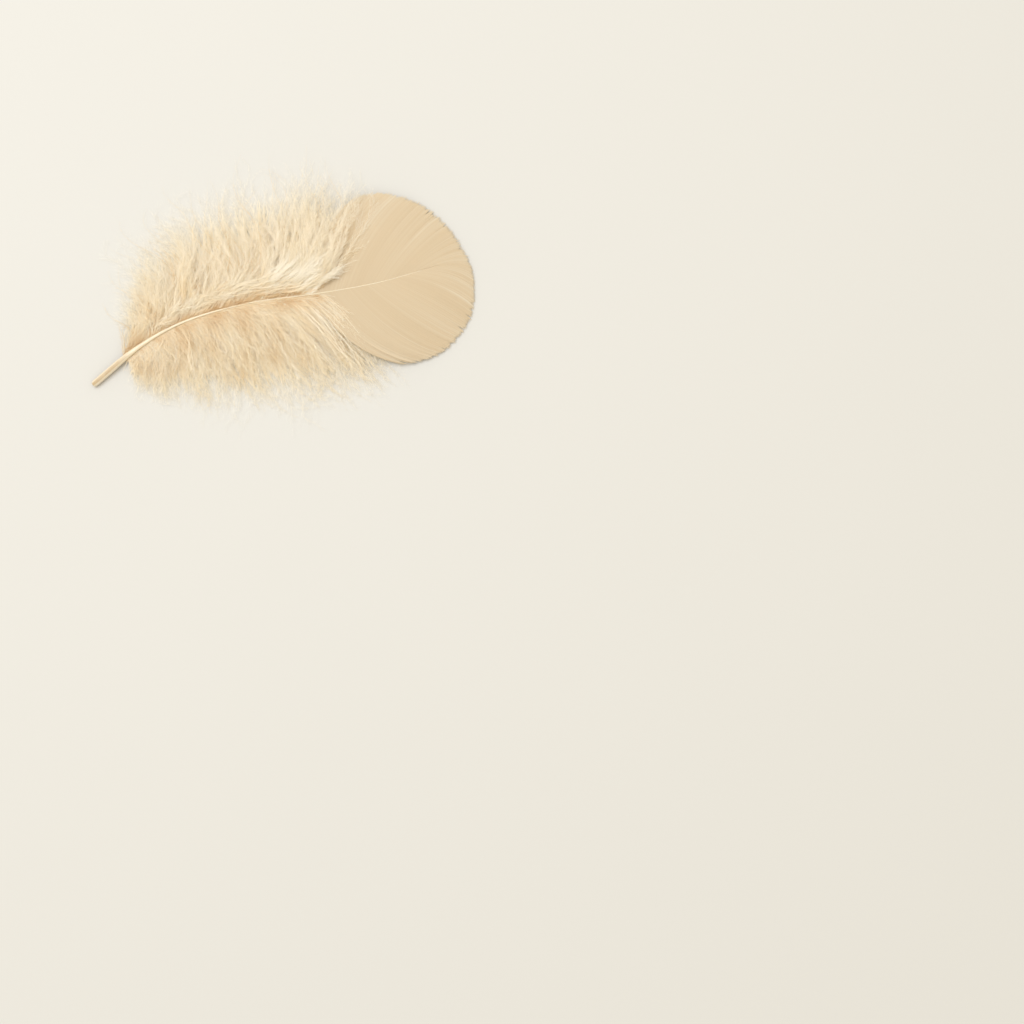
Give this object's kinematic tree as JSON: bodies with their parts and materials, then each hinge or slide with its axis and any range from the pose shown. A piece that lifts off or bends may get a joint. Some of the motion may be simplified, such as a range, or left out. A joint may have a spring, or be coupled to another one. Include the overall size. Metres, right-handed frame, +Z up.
{
  "type": "turkey feather",
  "caption": "Small cream turkey body feather: a bare quill, a bowed shaft with soft wavy down on both sides, and a smooth rounded blade at the tip. It lies outer face up.",
  "frame": {"origin": "on the surface that the feather lies on, under the middle of its overall box", "axes": "+X along the feather from the quill's end towards the blade's tip, +Y across it towards the side that the shaft bows to, +Z up, out of the feather's outer face"},
  "size_m": [0.1234, 0.0754, 0.0079],
  "materials": {
    "down": "soft, cream, slightly see-through at the edge",
    "blade": "smooth satin, fine barb lines, cream",
    "quill": "smooth horn with a soft gloss, ivory"
  },
  "bodies": {
    "root": {"feather": "down"}
  },
  "joints": []
}
